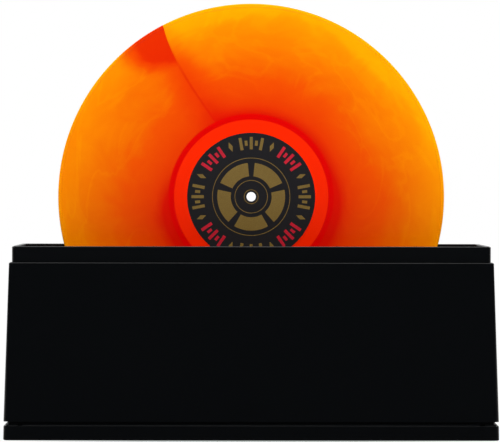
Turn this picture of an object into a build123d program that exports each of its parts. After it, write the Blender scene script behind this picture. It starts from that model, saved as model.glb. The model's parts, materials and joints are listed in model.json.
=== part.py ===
from build123d import *
import os
from math import cos, radians, sin, tan

# A hand-turned washer for vinyl records. A tapered housing stands on a drip tray and holds a
# lift-out basin, whose collar rises above the housing's shoulder. Two racks in the basin's trough
# carry the axles of two grooved rollers and guide two brushes. The record stands upright with its
# rim in the roller grooves and its lower part between the brushes, and is turned by hand.
#
# Frame: X runs left to right, Y front to back and Z up. The origin is the centre of the footprint,
# on the surface that the washer stands on. All sizes are in millimetres and angles in degrees.

# ---------------------------------------------------------------- clearances
contact_gap = 0.3  # between a rolling or soft face and the face that it works on
slide_clearance = 0.2  # each side of a piece that slides out
running_clearance = 0.05  # radial, bush on axle
fit_gap = 0.02  # radial, between round pieces that are assembled together
end_float = 0.3  # each end of a roller and of an axle

# ---------------------------------------------------------------- record
record_diameter = 301.6
record_rim_thickness = 1.9
record_rim_bead = 3.2  # width of the thicker bead at the rim
record_rim_bevel = 0.5
record_groove_thickness = 1.45
record_land_thickness = 1.8  # where the labels are glued
record_land_margin = 0.6  # land beyond the label's edge
record_land_slope = 1.0
spindle_hole_diameter = 7.3
label_diameter = 100.0
label_thickness = 0.15

# ---------------------------------------------------------------- rollers
tyre_root_radius = 14.6
tyre_flank_height = 3.4
tyre_root_width = 2.6
tyre_flank_angle = 30.0
tyre_width = 11.0
tyre_wall = 4.0  # rubber under the groove
tyre_edge_bevel = 0.7
hub_flange_thickness = 1.5
hub_flange_overlap = 2.4  # how far the hub's flanges cover the tyre's sides
hub_recess_depth = 4.0
hub_rim_wall = 1.2
hub_boss_wall = 1.0
axle_diameter = 5.0
axle_flats = 3.4  # across the flats that stop the axle turning in its slot
axle_chamfer = 0.4
bush_wall = 2.0
bush_flange_height = 1.4
bush_flange_thickness = 1.0
bush_length = 5.6
spacer_wall = 1.7

# ---------------------------------------------------------------- brushes
pad_width = 40.0
pad_height = 94.0
pad_thickness = 5.0
pad_edge_round = 1.6
foam_thickness = 4.0
holder_thickness = 3.0
holder_width = 52.0
holder_foot_height = 2.2  # the shelf under the pad
holder_head_height = 12.0  # plate above the pad
holder_rib_thickness = 2.0
holder_rib_depth = 5.0
holder_rib_spacing = 20.0
tab_width = 30.0
tab_height = 13.0
tab_corner = 6.0
tab_ridge = 0.8
tab_ridges = 3
tab_ridge_pitch = 2.8

# ---------------------------------------------------------------- racks
rack_thickness = 3.6
rack_height = 84.0
rack_end_margin = 14.0  # rack beyond the outer axle slots
rack_corner = 4.0
slot_lead = 2.6  # size of the chamfer at a slot's mouth
slot_clearance = 0.1
guide_stand_off = 9.85  # from the holder's back to the rack plate
guide_wall = 2.8
guide_lip = 2.75
guide_lip_thickness = 2.4
guide_stop_height = 4.0
tower_height = 110.0
tower_margin = 3.0  # rack plate beyond the guides
fill_line_height = 1.0
fill_line_relief = 0.5
fill_line_length = 16.0
fill_line_levels = [66.0, 78.0]  # the least and the most fluid, from the ground
roller_angle_large = 45.0  # from the vertical through the record's centre
roller_angle_medium = 38.0
roller_angle_small = 33.0
medium_record_diameter = 250.0
small_record_diameter = 174.6

# ---------------------------------------------------------------- basin
basin_wall = 2.4
collar_height = 12.4  # above the housing's shoulder
collar_engagement = 18.0  # below it, down to the ledge
collar_corner = 4.0
rim_bevel = 0.5
deck_drop = 15.4  # from the rim to the deck's outer edge
deck_fall = 3.0  # slope of the deck towards the trough
deck_margin_side = 7.65
deck_margin_front = 44.5
deck_overrun = 0.4  # of the deck's width
mouth_round = 1.6
trough_corner = 14.0  # where the floor meets the end walls
trough_edge = 3.0  # where they meet the front and rear walls
record_floor_gap = 19.4  # under the record's rim
end_wall_lean = 27.5  # of the trough's end walls from the vertical
roller_end_gap = 3.0  # between a roller and the end wall
gusset_thickness = 1.8
gusset_drop = 22.0  # down the trough's wall
gusset_reach = 13.0  # along the deck
gusset_count = 5
gusset_pitch = 66.0

# ---------------------------------------------------------------- housing
housing_wall = 1.9
housing_height = 121.0
housing_draft = 1.9
housing_corner = 1.6  # at the shoulder; the draft widens it towards the foot
hollow_corner = 2.0  # at the top of the hollow
shoulder_bevel = 0.5
ledge_width = 5.0
ledge_thickness = 2.4
housing_rib_thickness = 1.6
housing_rib_pitch = 52.0
housing_rib_count = 7
end_rib_pitch = 18.65
end_rib_count = 7
end_rib_rise = 1.0  # above the end wall, at the ledge; the draft deepens it towards the foot
tongue_inset = 1.0  # from the wall's inner face
tongue_thickness = 1.8
tongue_depth = 3.6  # below the tray's lip
tongue_root = 6.0  # above the housing's lower edge

# ---------------------------------------------------------------- drip tray
tray_rim_height = 12.6
tray_lip_rise = 1.0
tray_lip_thickness = 1.1
tray_lip_length = 366.0
tray_notch_width = 4.0  # drain notches through the lips
tray_notch_depth = 1.8
tray_notch_spacing = 352.0
shadow_gap = 1.4  # between the lips and the housing
tray_proud = 0.2  # tray beyond the housing, each side
tray_wall = 2.2
tray_draft = 1.2
tray_corner = 5.5
tray_rim_round = 1.7
tray_foot_bevel = 0.6
tray_skirt_step = 0.5  # the skirt thickens this much above its foot
tray_floor_thickness = 2.2
tray_ledge_width = 1.6  # beyond the tongue
tray_rib_thickness = 1.6
tray_rib_pitch = 60.0
tray_ribs = 5
foot_diameter = 16.0
foot_drop = 0.8  # feet below the tray's skirt
foot_recess = 1.8  # feet inside the skirt
foot_inset = 26.0
foot_bevel = 0.5
trough_ground_gap = 8.8  # from the tray's floor to the trough

# ---------------------------------------------------------------- levels, from the ground up
tray_floor_under_z = foot_drop + foot_recess
tray_floor_z = tray_floor_under_z + tray_floor_thickness
tray_lip_z = tray_rim_height + tray_lip_rise
housing_bottom_z = tray_lip_z + shadow_gap
tongue_bottom_z = tray_lip_z - tongue_depth
shoulder_z = housing_bottom_z + housing_height
rim_z = shoulder_z + collar_height
ledge_z = shoulder_z - collar_engagement
deck_z = rim_z - deck_drop
mouth_z = deck_z - deck_fall
floor_z = tray_floor_z + trough_ground_gap + basin_wall
record_bottom_z = floor_z + record_floor_gap
record_radius = record_diameter / 2
record_z = record_bottom_z + record_radius
guide_stop_z = floor_z + guide_stop_height
rack_top_z = floor_z + rack_height
tower_top_z = floor_z + tower_height

# ---------------------------------------------------------------- roller seats
tyre_radius = tyre_root_radius + tyre_flank_height
axle_radius = axle_diameter / 2


def roller_seat(diameter, angle):
    """(x, z) of the right-hand axle that carries a record of this diameter."""
    reach = diameter / 2 + contact_gap + tyre_root_radius
    centre_z = record_bottom_z + diameter / 2
    return reach * sin(radians(angle)), centre_z - reach * cos(radians(angle))


roller_x, roller_z = roller_seat(record_diameter, roller_angle_large)
slot_seats = [
    (roller_x, roller_z),
    roller_seat(medium_record_diameter, roller_angle_medium),
    roller_seat(small_record_diameter, roller_angle_small),
]

# ---------------------------------------------------------------- distances from the record's plane
label_face = record_land_thickness / 2 + label_thickness
pad_face = max(label_face, record_rim_thickness / 2) + contact_gap
pad_back = pad_face + pad_thickness
foam_back = pad_back + foam_thickness
holder_back = foam_back + holder_thickness
rack_face = holder_back + slide_clearance + guide_stand_off
trough_half_depth = rack_face + rack_thickness
collar_inner_half_depth = trough_half_depth + deck_margin_front

# ---------------------------------------------------------------- lengths, from the trough outwards
wall_reach = tyre_radius + roller_end_gap
wall_x = roller_x + wall_reach * cos(radians(end_wall_lean))
wall_z = roller_z - wall_reach * sin(radians(end_wall_lean))
floor_half_length = wall_x - (wall_z - floor_z) * tan(radians(end_wall_lean))
mouth_half_length = wall_x + (mouth_z - wall_z) * tan(radians(end_wall_lean))
collar_inner_half_length = mouth_half_length + deck_margin_side

collar_length = 2 * (collar_inner_half_length + basin_wall)
collar_depth = 2 * (collar_inner_half_depth + basin_wall)
opening_length = collar_length + 2 * slide_clearance
opening_depth = collar_depth + 2 * slide_clearance
housing_flare = 2 * housing_height * tan(radians(housing_draft))
housing_length = opening_length + 2 * housing_wall + housing_flare
housing_depth = opening_depth + 2 * housing_wall + housing_flare
hollow_length = housing_length - 2 * housing_wall
hollow_depth = housing_depth - 2 * housing_wall
tongue_length = hollow_length - 2 * tongue_inset
tongue_width = hollow_depth - 2 * tongue_inset
tray_length = housing_length + 2 * tray_proud
tray_depth = housing_depth + 2 * tray_proud


def level(z):
    """The horizontal plane at height z."""
    return Plane.XY.offset(z)


def front(distance):
    """The upright plane this far in front of the record; a sketch on it extrudes forwards."""
    return Plane.XZ.offset(distance)


def axle_line(x, z):
    """The front-to-back axis through (x, z)."""
    return Axis((x, 0, z), (0, 1, 0))


def radial_plane(x, z):
    """The plane of a half section about axle_line(x, z): local X is the radius, local Y the axis."""
    return Plane(origin=(x, 0, z), x_dir=(0, 0, 1), z_dir=(1, 0, 0))


# ================================================================ drip tray
seat_length = tongue_length + 2 * contact_gap
seat_width = tongue_width + 2 * contact_gap
pan_length = tongue_length - 2 * tongue_thickness - 2 * tray_ledge_width
pan_depth = tongue_width - 2 * tongue_thickness - 2 * tray_ledge_width
with BuildPart() as drip_tray:
    with BuildSketch(level(foot_drop)):
        RectangleRounded(tray_length, tray_depth, tray_corner)
    extrude(amount=tray_rim_height - foot_drop, taper=tray_draft)
    chamfer(drip_tray.edges().group_by(Axis.Z)[0], tray_foot_bevel)
    fillet(drip_tray.edges().group_by(Axis.Z)[-1], tray_rim_round)
    # Lips along the front and back hide the gap under the housing; drain notches cut them.
    lip_y = seat_width / 2 + tray_lip_thickness / 2
    with BuildSketch(level(tray_rim_height - tray_rim_round)):
        with GridLocations(0, 2 * lip_y, 1, 2):
            Rectangle(tray_lip_length, tray_lip_thickness)
    extrude(amount=tray_rim_round + tray_lip_rise)
    with BuildSketch(level(tray_lip_z - tray_notch_depth)):
        with GridLocations(tray_notch_spacing, 0, 2, 1):
            Rectangle(tray_notch_width, tray_depth)
    extrude(amount=tray_notch_depth, mode=Mode.SUBTRACT)
    # The seat of the housing's tongue, then the pan inside it.
    with BuildSketch(level(tongue_bottom_z)):
        RectangleRounded(seat_length, seat_width, tray_corner - tray_wall)
    extrude(amount=tray_lip_z - tongue_bottom_z, mode=Mode.SUBTRACT)
    with BuildSketch(level(tray_floor_z)):
        RectangleRounded(pan_length, pan_depth, tray_corner - tray_wall)
    extrude(amount=tongue_bottom_z - tray_floor_z, mode=Mode.SUBTRACT)
    # Underside: a shallow hollow under the floor and a deeper channel under the seat.
    with BuildSketch(level(foot_drop)):
        RectangleRounded(
            tray_length - 2 * tray_wall, tray_depth - 2 * tray_wall, tray_corner - tray_wall
        )
    extrude(amount=foot_recess, mode=Mode.SUBTRACT)
    with BuildSketch(level(tray_floor_under_z)):
        RectangleRounded(
            tray_length - 2 * (tray_wall + tray_skirt_step),
            tray_depth - 2 * (tray_wall + tray_skirt_step),
            tray_corner - tray_wall,
        )
        RectangleRounded(
            pan_length + 2 * tray_wall,
            pan_depth + 2 * tray_wall,
            tray_corner,
            mode=Mode.SUBTRACT,
        )
    extrude(
        amount=tongue_bottom_z - tray_wall - tray_floor_under_z, mode=Mode.SUBTRACT
    )
    with BuildSketch(level(foot_drop)):
        with GridLocations(tray_rib_pitch, 0, tray_ribs, 1):
            Rectangle(tray_rib_thickness, tray_depth - 2 * tray_wall)
        Rectangle(tray_length - 2 * tray_wall, tray_rib_thickness)
    extrude(amount=foot_recess)
drip_tray.part.label = "drip_tray"

with BuildPart() as tray_feet:
    with BuildSketch():
        with GridLocations(tray_length - 2 * foot_inset, tray_depth - 2 * foot_inset, 2, 2):
            Circle(foot_diameter / 2)
    extrude(amount=tray_floor_under_z)
    chamfer(tray_feet.edges().group_by(Axis.Z)[0], foot_bevel)
tray_feet.part.label = "tray_feet"

# ================================================================ housing
with BuildPart() as housing_form:
    with BuildSketch(level(housing_bottom_z)):
        RectangleRounded(housing_length, housing_depth, housing_corner + housing_flare / 2)
    extrude(amount=housing_height, taper=housing_draft)
    chamfer(housing_form.edges().group_by(Axis.Z)[-1], shoulder_bevel)

ledge_under_z = ledge_z - ledge_thickness
hollow_height = ledge_under_z - housing_bottom_z
hollow_foot_corner = hollow_corner + hollow_height * tan(radians(housing_draft))
ledge_length = opening_length - 2 * ledge_width
ledge_depth = opening_depth - 2 * ledge_width
hollow_top_length = hollow_length - 2 * hollow_height * tan(radians(housing_draft))
with BuildPart() as housing_ribs:
    with BuildSketch(level(housing_bottom_z + tongue_root)):
        with GridLocations(housing_rib_pitch, 0, housing_rib_count, 1):
            Rectangle(housing_rib_thickness, housing_depth)
        Rectangle(ledge_length, ledge_depth, mode=Mode.SUBTRACT)
        with GridLocations(0, end_rib_pitch, 1, end_rib_count):
            Rectangle(housing_length, housing_rib_thickness)
        Rectangle(hollow_top_length - 2 * end_rib_rise, ledge_depth, mode=Mode.SUBTRACT)
    extrude(amount=hollow_height - tongue_root)
    add(housing_form.part, mode=Mode.INTERSECT)

with BuildPart() as housing:
    add(housing_form.part)
    # The basin's seat, the hole through the ledge, then the tapered hollow below it.
    with BuildSketch(level(ledge_z)):
        RectangleRounded(opening_length, opening_depth, collar_corner)
    extrude(amount=collar_engagement, mode=Mode.SUBTRACT)
    with BuildSketch(level(ledge_under_z)):
        RectangleRounded(ledge_length, ledge_depth, collar_corner)
    extrude(amount=ledge_thickness, mode=Mode.SUBTRACT)
    with BuildSketch(level(housing_bottom_z)):
        RectangleRounded(hollow_length, hollow_depth, hollow_foot_corner)
    extrude(amount=hollow_height, taper=housing_draft, mode=Mode.SUBTRACT)
    add(housing_ribs.part)
    # The tongue that stands in the tray, on a band inside the lower edge.
    with BuildSketch(level(housing_bottom_z)):
        RectangleRounded(hollow_length, hollow_depth, hollow_foot_corner)
    extrude(amount=tongue_root)
    with BuildSketch(level(tongue_bottom_z)):
        RectangleRounded(tongue_length, tongue_width, hollow_foot_corner - tongue_inset)
    extrude(amount=housing_bottom_z - tongue_bottom_z)
    with BuildSketch(level(tongue_bottom_z)):
        RectangleRounded(
            tongue_length - 2 * tongue_thickness,
            tongue_width - 2 * tongue_thickness,
            hollow_foot_corner - tongue_inset - tongue_thickness,
        )
    extrude(amount=housing_bottom_z + tongue_root - tongue_bottom_z, mode=Mode.SUBTRACT)
housing.part.label = "housing"

# ================================================================ basin
section_half_length = mouth_half_length + deck_fall * tan(radians(end_wall_lean))
with BuildSketch(Plane.XZ) as trough_section:
    with BuildLine():
        Polyline(
            (-section_half_length, deck_z),
            (-floor_half_length, floor_z),
            (floor_half_length, floor_z),
            (section_half_length, deck_z),
            close=True,
        )
    make_face()
    fillet(trough_section.vertices().group_by(Axis.Y)[0], trough_corner)

with BuildPart() as trough_hollow:
    with BuildSketch(Plane.XZ):
        add(trough_section.sketch)
    extrude(amount=trough_half_depth, both=True)
    rim_edges = trough_hollow.edges().group_by(Axis.Z)[-1]
    end_faces = trough_hollow.faces().filter_by(Axis.Y)
    fillet([edge for edge in end_faces.edges() if edge not in rim_edges], trough_edge)

with BuildPart() as trough_form:
    # The hollow's section thickened by the wall; it stops at the mouth.
    with BuildSketch(Plane.XZ):
        add(trough_section.sketch)
        offset(amount=basin_wall, kind=Kind.INTERSECTION)
        with Locations((0, mouth_z + deck_drop / 2)):
            Rectangle(2 * collar_length, deck_drop, mode=Mode.SUBTRACT)
    extrude(amount=trough_half_depth + basin_wall, both=True)
    rim_edges = trough_form.edges().group_by(Axis.Z)[-1]
    end_faces = trough_form.faces().filter_by(Axis.Y)
    chamfer([edge for edge in end_faces.edges() if edge not in rim_edges], trough_edge)

with BuildPart() as deck_hollow:
    # What the sloping deck leaves open above it; the slopes run on below the mouth's edge.
    with BuildSketch(level(mouth_z - deck_fall * deck_overrun)):
        RectangleRounded(
            2 * (mouth_half_length - deck_margin_side * deck_overrun),
            2 * (trough_half_depth - deck_margin_front * deck_overrun),
            trough_edge,
        )
    with BuildSketch(level(deck_z)):
        RectangleRounded(
            2 * collar_inner_half_length,
            2 * collar_inner_half_depth,
            collar_corner - basin_wall,
        )
    loft()

with BuildPart() as under_deck:
    # What it leaves open below it, inside the collar.
    with BuildSketch(level(ledge_z)):
        RectangleRounded(
            2 * collar_inner_half_length,
            2 * collar_inner_half_depth,
            collar_corner - basin_wall,
        )
    extrude(amount=deck_z - basin_wall - ledge_z)
    add(
        deck_hollow.part.moved(Location((0, 0, -basin_wall))), mode=Mode.SUBTRACT
    )

with BuildPart() as basin:
    with BuildSketch(level(ledge_z)):
        RectangleRounded(collar_length, collar_depth, collar_corner)
    extrude(amount=rim_z - ledge_z)
    with BuildSketch(level(deck_z)):
        RectangleRounded(
            2 * collar_inner_half_length,
            2 * collar_inner_half_depth,
            collar_corner - basin_wall,
        )
    extrude(amount=rim_z - deck_z, mode=Mode.SUBTRACT)
    chamfer(basin.edges().group_by(Axis.Z)[-1], rim_bevel)
    add(under_deck.part, mode=Mode.SUBTRACT)
    # Gussets brace the deck against the trough's walls.
    for side in (-1, 1):
        with BuildSketch(Plane.YZ.offset(-gusset_thickness / 2)) as gusset_section:
            with BuildLine():
                Polyline(
                    (side * trough_half_depth, mouth_z - basin_wall / 2),
                    (side * trough_half_depth, mouth_z - basin_wall - gusset_drop),
                    (side * (trough_half_depth + basin_wall + gusset_reach), mouth_z - basin_wall / 2),
                    close=True,
                )
            make_face()
        for place in GridLocations(gusset_pitch, 0, gusset_count, 1):
            extrude(gusset_section.sketch.moved(place), amount=gusset_thickness)
    add(trough_form.part)
    add(deck_hollow.part, mode=Mode.SUBTRACT)
    add(trough_hollow.part, mode=Mode.SUBTRACT)
    mouth_edges = [
        edge
        for edge in basin.edges()
        if abs(edge.center().Z - mouth_z) < contact_gap
        and abs(edge.center().Y) < trough_half_depth + fit_gap
        and abs(edge.center().X) < mouth_half_length + fit_gap
    ]
    fillet(mouth_edges, mouth_round)
basin.part.label = "basin"

# ================================================================ racks
guide_face = foam_back - slide_clearance - guide_lip_thickness
guide_half_width = holder_width / 2 + slide_clearance
rail_middle = guide_half_width + guide_wall / 2
lip_middle = guide_half_width - guide_lip / 2
tower_half_width = guide_half_width + guide_wall + tower_margin
fill_line_x = (slot_seats[0][0] + slot_seats[1][0]) / 2
with BuildPart() as rack_front:
    with BuildSketch(front(rack_face)) as rack_outline:
        with BuildLine():
            Polyline(
                (-roller_x - rack_end_margin, floor_z),
                (-roller_x - rack_end_margin, rack_top_z),
                (-tower_half_width, rack_top_z),
                (-tower_half_width, tower_top_z),
                (tower_half_width, tower_top_z),
                (tower_half_width, rack_top_z),
                (roller_x + rack_end_margin, rack_top_z),
                (roller_x + rack_end_margin, floor_z),
                close=True,
            )
        make_face()
        fillet(rack_outline.vertices().group_by(Axis.Y)[-1], rack_corner)
        # An open slot for each axle position, with a chamfered mouth.
        for seat_x, seat_z in slot_seats:
            slot_bottom = seat_z - axle_radius - slot_clearance
            slot_half = axle_flats / 2 + slot_clearance
            for side in (-1, 1):
                with BuildLine():
                    Polyline(
                        (side * seat_x - slot_half, slot_bottom),
                        (side * seat_x + slot_half, slot_bottom),
                        (side * seat_x + slot_half, rack_top_z - slot_lead),
                        (side * seat_x + slot_half + slot_lead, rack_top_z),
                        (side * seat_x - slot_half - slot_lead, rack_top_z),
                        (side * seat_x - slot_half, rack_top_z - slot_lead),
                        close=True,
                    )
                make_face(mode=Mode.SUBTRACT)
    extrude(amount=rack_thickness)
    # Raised lines between the slots mark the least and the most fluid.
    with BuildSketch(front(rack_face)):
        for line_z in fill_line_levels:
            with Locations((-fill_line_x, line_z), (fill_line_x, line_z)):
                Rectangle(fill_line_length, fill_line_height)
    extrude(amount=-fill_line_relief)
    # Two channels guide the edges of the brush holder, each with a stop at its foot.
    guide_height = tower_top_z - floor_z
    guide_middle_z = floor_z + guide_height / 2
    with BuildSketch(front(guide_face)):
        with Locations((-rail_middle, guide_middle_z), (rail_middle, guide_middle_z)):
            Rectangle(guide_wall, guide_height)
    extrude(amount=rack_face - guide_face)
    for lip_face in (guide_face, holder_back + slide_clearance):
        with BuildSketch(front(lip_face)):
            with Locations((-lip_middle, guide_middle_z), (lip_middle, guide_middle_z)):
                Rectangle(guide_lip, guide_height)
        extrude(amount=guide_lip_thickness)
    with BuildSketch(front(guide_face)):
        with Locations(
            (-lip_middle, floor_z + guide_stop_height / 2),
            (lip_middle, floor_z + guide_stop_height / 2),
        ):
            Rectangle(guide_lip, guide_stop_height)
    extrude(amount=holder_back + slide_clearance - guide_face)
    # The plate's edges follow the trough's rounded ones.
    add(trough_hollow.part, mode=Mode.INTERSECT)
rack_front.part.label = "rack_front"

with BuildPart() as rack_rear:
    mirror(rack_front.part, about=Plane.XZ)
rack_rear.part.label = "rack_rear"

# ================================================================ brushes
shelf_z = guide_stop_z + holder_foot_height
pad_top_z = shelf_z + pad_height
holder_top_z = pad_top_z + holder_head_height
with BuildPart() as brush_holder_front:
    with BuildSketch(front(foam_back)):
        with Locations((0, (guide_stop_z + holder_top_z) / 2)):
            Rectangle(holder_width, holder_top_z - guide_stop_z)
    extrude(amount=holder_thickness)
    with BuildSketch(front(foam_back)) as tab_outline:
        with Locations((0, holder_top_z + tab_height / 2)):
            Rectangle(tab_width, tab_height)
        fillet(tab_outline.vertices().group_by(Axis.Y)[-1], tab_corner)
    extrude(amount=holder_thickness)
    # The shelf under the pad, two ribs behind the plate and ridges for the fingers.
    with BuildSketch(front(pad_face + pad_thickness / 2)):
        with Locations((0, guide_stop_z + holder_foot_height / 2)):
            Rectangle(pad_width, holder_foot_height)
    extrude(amount=foam_back - pad_face - pad_thickness / 2)
    with BuildSketch(front(holder_back)):
        for side in (-1, 1):
            with Locations((side * holder_rib_spacing / 2, (guide_stop_z + holder_top_z) / 2)):
                Rectangle(holder_rib_thickness, holder_top_z - guide_stop_z - 2 * tab_corner)
    extrude(amount=holder_rib_depth)
    with BuildSketch(front(foam_back - tab_ridge)):
        with Locations((0, holder_top_z + tab_height / 2)):
            with GridLocations(0, tab_ridge_pitch, 1, tab_ridges):
                Rectangle(tab_width - 2 * tab_corner, tab_ridge)
    extrude(amount=holder_thickness + 2 * tab_ridge)
brush_holder_front.part.label = "brush_holder_front"

with BuildPart() as brush_foam_front:
    with BuildSketch(front(pad_back)):
        with Locations((0, shelf_z + pad_height / 2)):
            Rectangle(pad_width, pad_height)
    extrude(amount=foam_thickness)
brush_foam_front.part.label = "brush_foam_front"

with BuildPart() as brush_pad_front:
    with BuildSketch(front(pad_face)):
        with Locations((0, shelf_z + pad_height / 2)):
            Rectangle(pad_width, pad_height)
    extrude(amount=pad_thickness)
    fillet(brush_pad_front.faces().sort_by(Axis.Y)[-1].edges(), pad_edge_round)
brush_pad_front.part.label = "brush_pad_front"

with BuildPart() as brush_holder_rear:
    mirror(brush_holder_front.part, about=Plane.XZ)
brush_holder_rear.part.label = "brush_holder_rear"

with BuildPart() as brush_foam_rear:
    mirror(brush_foam_front.part, about=Plane.XZ)
brush_foam_rear.part.label = "brush_foam_rear"

with BuildPart() as brush_pad_rear:
    mirror(brush_pad_front.part, about=Plane.XZ)
brush_pad_rear.part.label = "brush_pad_rear"

# ================================================================ rollers
hub_half_width = tyre_width / 2 + hub_flange_thickness
hub_seat_radius = tyre_root_radius - tyre_wall
bush_bore_radius = axle_radius + running_clearance
bush_outer_radius = bush_bore_radius + bush_wall
bush_flange_radius = bush_outer_radius + bush_flange_height
axle_half_length = trough_half_depth - end_float
flats_start = rack_face - end_float / 2


def make_tyre(x):
    """The rubber ring whose groove carries the record's rim."""
    groove_half = tyre_root_width / 2
    flank_run = tyre_flank_height * tan(radians(tyre_flank_angle))
    with BuildPart() as tyre:
        with BuildSketch(radial_plane(x, roller_z)) as section:
            with BuildLine():
                Polyline(
                    (hub_seat_radius + fit_gap, -tyre_width / 2),
                    (tyre_radius, -tyre_width / 2),
                    (tyre_radius, -groove_half - flank_run),
                    (tyre_root_radius, -groove_half),
                    (tyre_root_radius, groove_half),
                    (tyre_radius, groove_half + flank_run),
                    (tyre_radius, tyre_width / 2),
                    (hub_seat_radius + fit_gap, tyre_width / 2),
                    close=True,
                )
            make_face()
            rim_corners = section.vertices().group_by(Axis.X)[-1].sort_by(Axis.Y)
            chamfer([rim_corners[0], rim_corners[-1]], tyre_edge_bevel)
        revolve(axis=axle_line(x, roller_z))
    return tyre.part


def make_hub(x):
    """The spool inside the tyre, with a recess in each face."""
    boss_radius = bush_flange_radius + fit_gap + hub_boss_wall
    recess_radius = hub_seat_radius - hub_rim_wall
    flange_radius = hub_seat_radius + hub_flange_overlap
    with BuildPart() as hub:
        with BuildSketch(radial_plane(x, roller_z)):
            with Locations(((hub_seat_radius + bush_outer_radius + fit_gap) / 2, 0)):
                Rectangle(hub_seat_radius - bush_outer_radius - fit_gap, 2 * hub_half_width)
            for side in (-1, 1):
                with Locations(
                    (
                        (hub_seat_radius + flange_radius) / 2,
                        side * (hub_half_width - hub_flange_thickness / 2),
                    )
                ):
                    Rectangle(hub_flange_overlap, hub_flange_thickness)
                with Locations(
                    (
                        (bush_outer_radius + bush_flange_radius) / 2,
                        side * (hub_half_width - bush_flange_thickness / 2),
                    )
                ):
                    Rectangle(
                        bush_flange_height + 2 * fit_gap,
                        bush_flange_thickness,
                        mode=Mode.SUBTRACT,
                    )
                with Locations(
                    (
                        (boss_radius + recess_radius) / 2,
                        side * (hub_half_width - hub_recess_depth / 2),
                    )
                ):
                    Rectangle(
                        recess_radius - boss_radius, hub_recess_depth, mode=Mode.SUBTRACT
                    )
        revolve(axis=axle_line(x, roller_z))
    return hub.part


def make_bushes(x):
    """The two flanged bushes on which the hub turns."""
    with BuildPart() as bushes:
        with BuildSketch(radial_plane(x, roller_z)):
            for side in (-1, 1):
                with Locations(
                    (
                        (bush_bore_radius + bush_outer_radius) / 2,
                        side * (hub_half_width - bush_length / 2),
                    )
                ):
                    Rectangle(bush_wall, bush_length)
                with Locations(
                    (
                        (bush_outer_radius + bush_flange_radius) / 2,
                        side * (hub_half_width - bush_flange_thickness / 2),
                    )
                ):
                    Rectangle(bush_flange_height, bush_flange_thickness)
        revolve(axis=axle_line(x, roller_z))
    return bushes.part


def make_axle(x):
    """The steel axle, flattened at both ends to sit in the racks' slots."""
    with BuildPart() as axle:
        with BuildSketch(front(-axle_half_length)):
            with Locations((x, roller_z)):
                Circle(axle_radius)
        extrude(amount=2 * axle_half_length)
        chamfer(axle.edges().filter_by(GeomType.CIRCLE), axle_chamfer)
        for side in (-1, 1):
            with BuildSketch(Plane.XZ.offset(side * flats_start)):
                for edge in (-1, 1):
                    with Locations((x + edge * (axle_flats + axle_diameter) / 2, roller_z)):
                        Rectangle(axle_diameter, 2 * axle_diameter)
            extrude(amount=side * rack_thickness * 2, mode=Mode.SUBTRACT)
    return axle.part


def make_spacers(x):
    """The two tubes that keep the roller in the middle of its axle."""
    with BuildPart() as spacers:
        inner = hub_half_width + end_float
        outer = flats_start - end_float / 2
        with BuildSketch(radial_plane(x, roller_z)):
            for side in (-1, 1):
                with Locations((axle_radius + fit_gap + spacer_wall / 2, side * (inner + outer) / 2)):
                    Rectangle(spacer_wall, outer - inner)
        revolve(axis=axle_line(x, roller_z))
    return spacers.part


roller_pieces = {}
for side_name, side_x in (("left", -roller_x), ("right", roller_x)):
    roller_pieces["roller_tyre_" + side_name] = make_tyre(side_x)
    roller_pieces["roller_hub_" + side_name] = make_hub(side_x)
    roller_pieces["roller_bushes_" + side_name] = make_bushes(side_x)
    roller_pieces["roller_axle_" + side_name] = make_axle(side_x)
    roller_pieces["roller_spacers_" + side_name] = make_spacers(side_x)
for piece_name, piece in roller_pieces.items():
    piece.label = piece_name

# ================================================================ record
with BuildPart() as record_disc:
    land_radius = label_diameter / 2 + record_land_margin
    bead_start = record_radius - record_rim_bead
    rim_half = record_rim_thickness / 2
    with BuildSketch(radial_plane(0, record_z)) as record_section:
        with BuildLine():
            Polyline(
                (spindle_hole_diameter / 2, 0),
                (spindle_hole_diameter / 2, record_land_thickness / 2),
                (land_radius, record_land_thickness / 2),
                (land_radius + record_land_slope, record_groove_thickness / 2),
                (bead_start, record_groove_thickness / 2),
                (bead_start + record_land_slope, rim_half),
                (record_radius - record_rim_bevel, rim_half),
                (record_radius, rim_half - record_rim_bevel),
                (record_radius, 0),
                close=True,
            )
        make_face()
        mirror(about=Plane.XZ)
    revolve(axis=axle_line(0, record_z))
record_disc.part.label = "record_disc"

with BuildPart() as record_label_front:
    with BuildSketch(front(record_land_thickness / 2)):
        with Locations((0, record_z)):
            Circle(label_diameter / 2)
            Circle(spindle_hole_diameter / 2, mode=Mode.SUBTRACT)
    extrude(amount=label_thickness)
record_label_front.part.label = "record_label_front"

with BuildPart() as record_label_rear:
    mirror(record_label_front.part, about=Plane.XZ)
record_label_rear.part.label = "record_label_rear"

# ================================================================ files
pieces = [
    drip_tray.part,
    tray_feet.part,
    housing.part,
    basin.part,
    rack_front.part,
    rack_rear.part,
    brush_holder_front.part,
    brush_foam_front.part,
    brush_pad_front.part,
    brush_holder_rear.part,
    brush_foam_rear.part,
    brush_pad_rear.part,
    *roller_pieces.values(),
    record_disc.part,
    record_label_front.part,
    record_label_rear.part,
]
os.makedirs("parts", exist_ok=True)
for piece in pieces:
    export_step(piece, f"parts/{piece.label}.step")
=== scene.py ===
"""Looks for a hand-turned washer for vinyl records: a black moulded housing on a drip tray, a
basin with rollers and brushes, and a marbled record standing in it. Lengths are in metres."""

import json
from math import atan, cos, pi, radians, sin

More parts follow.
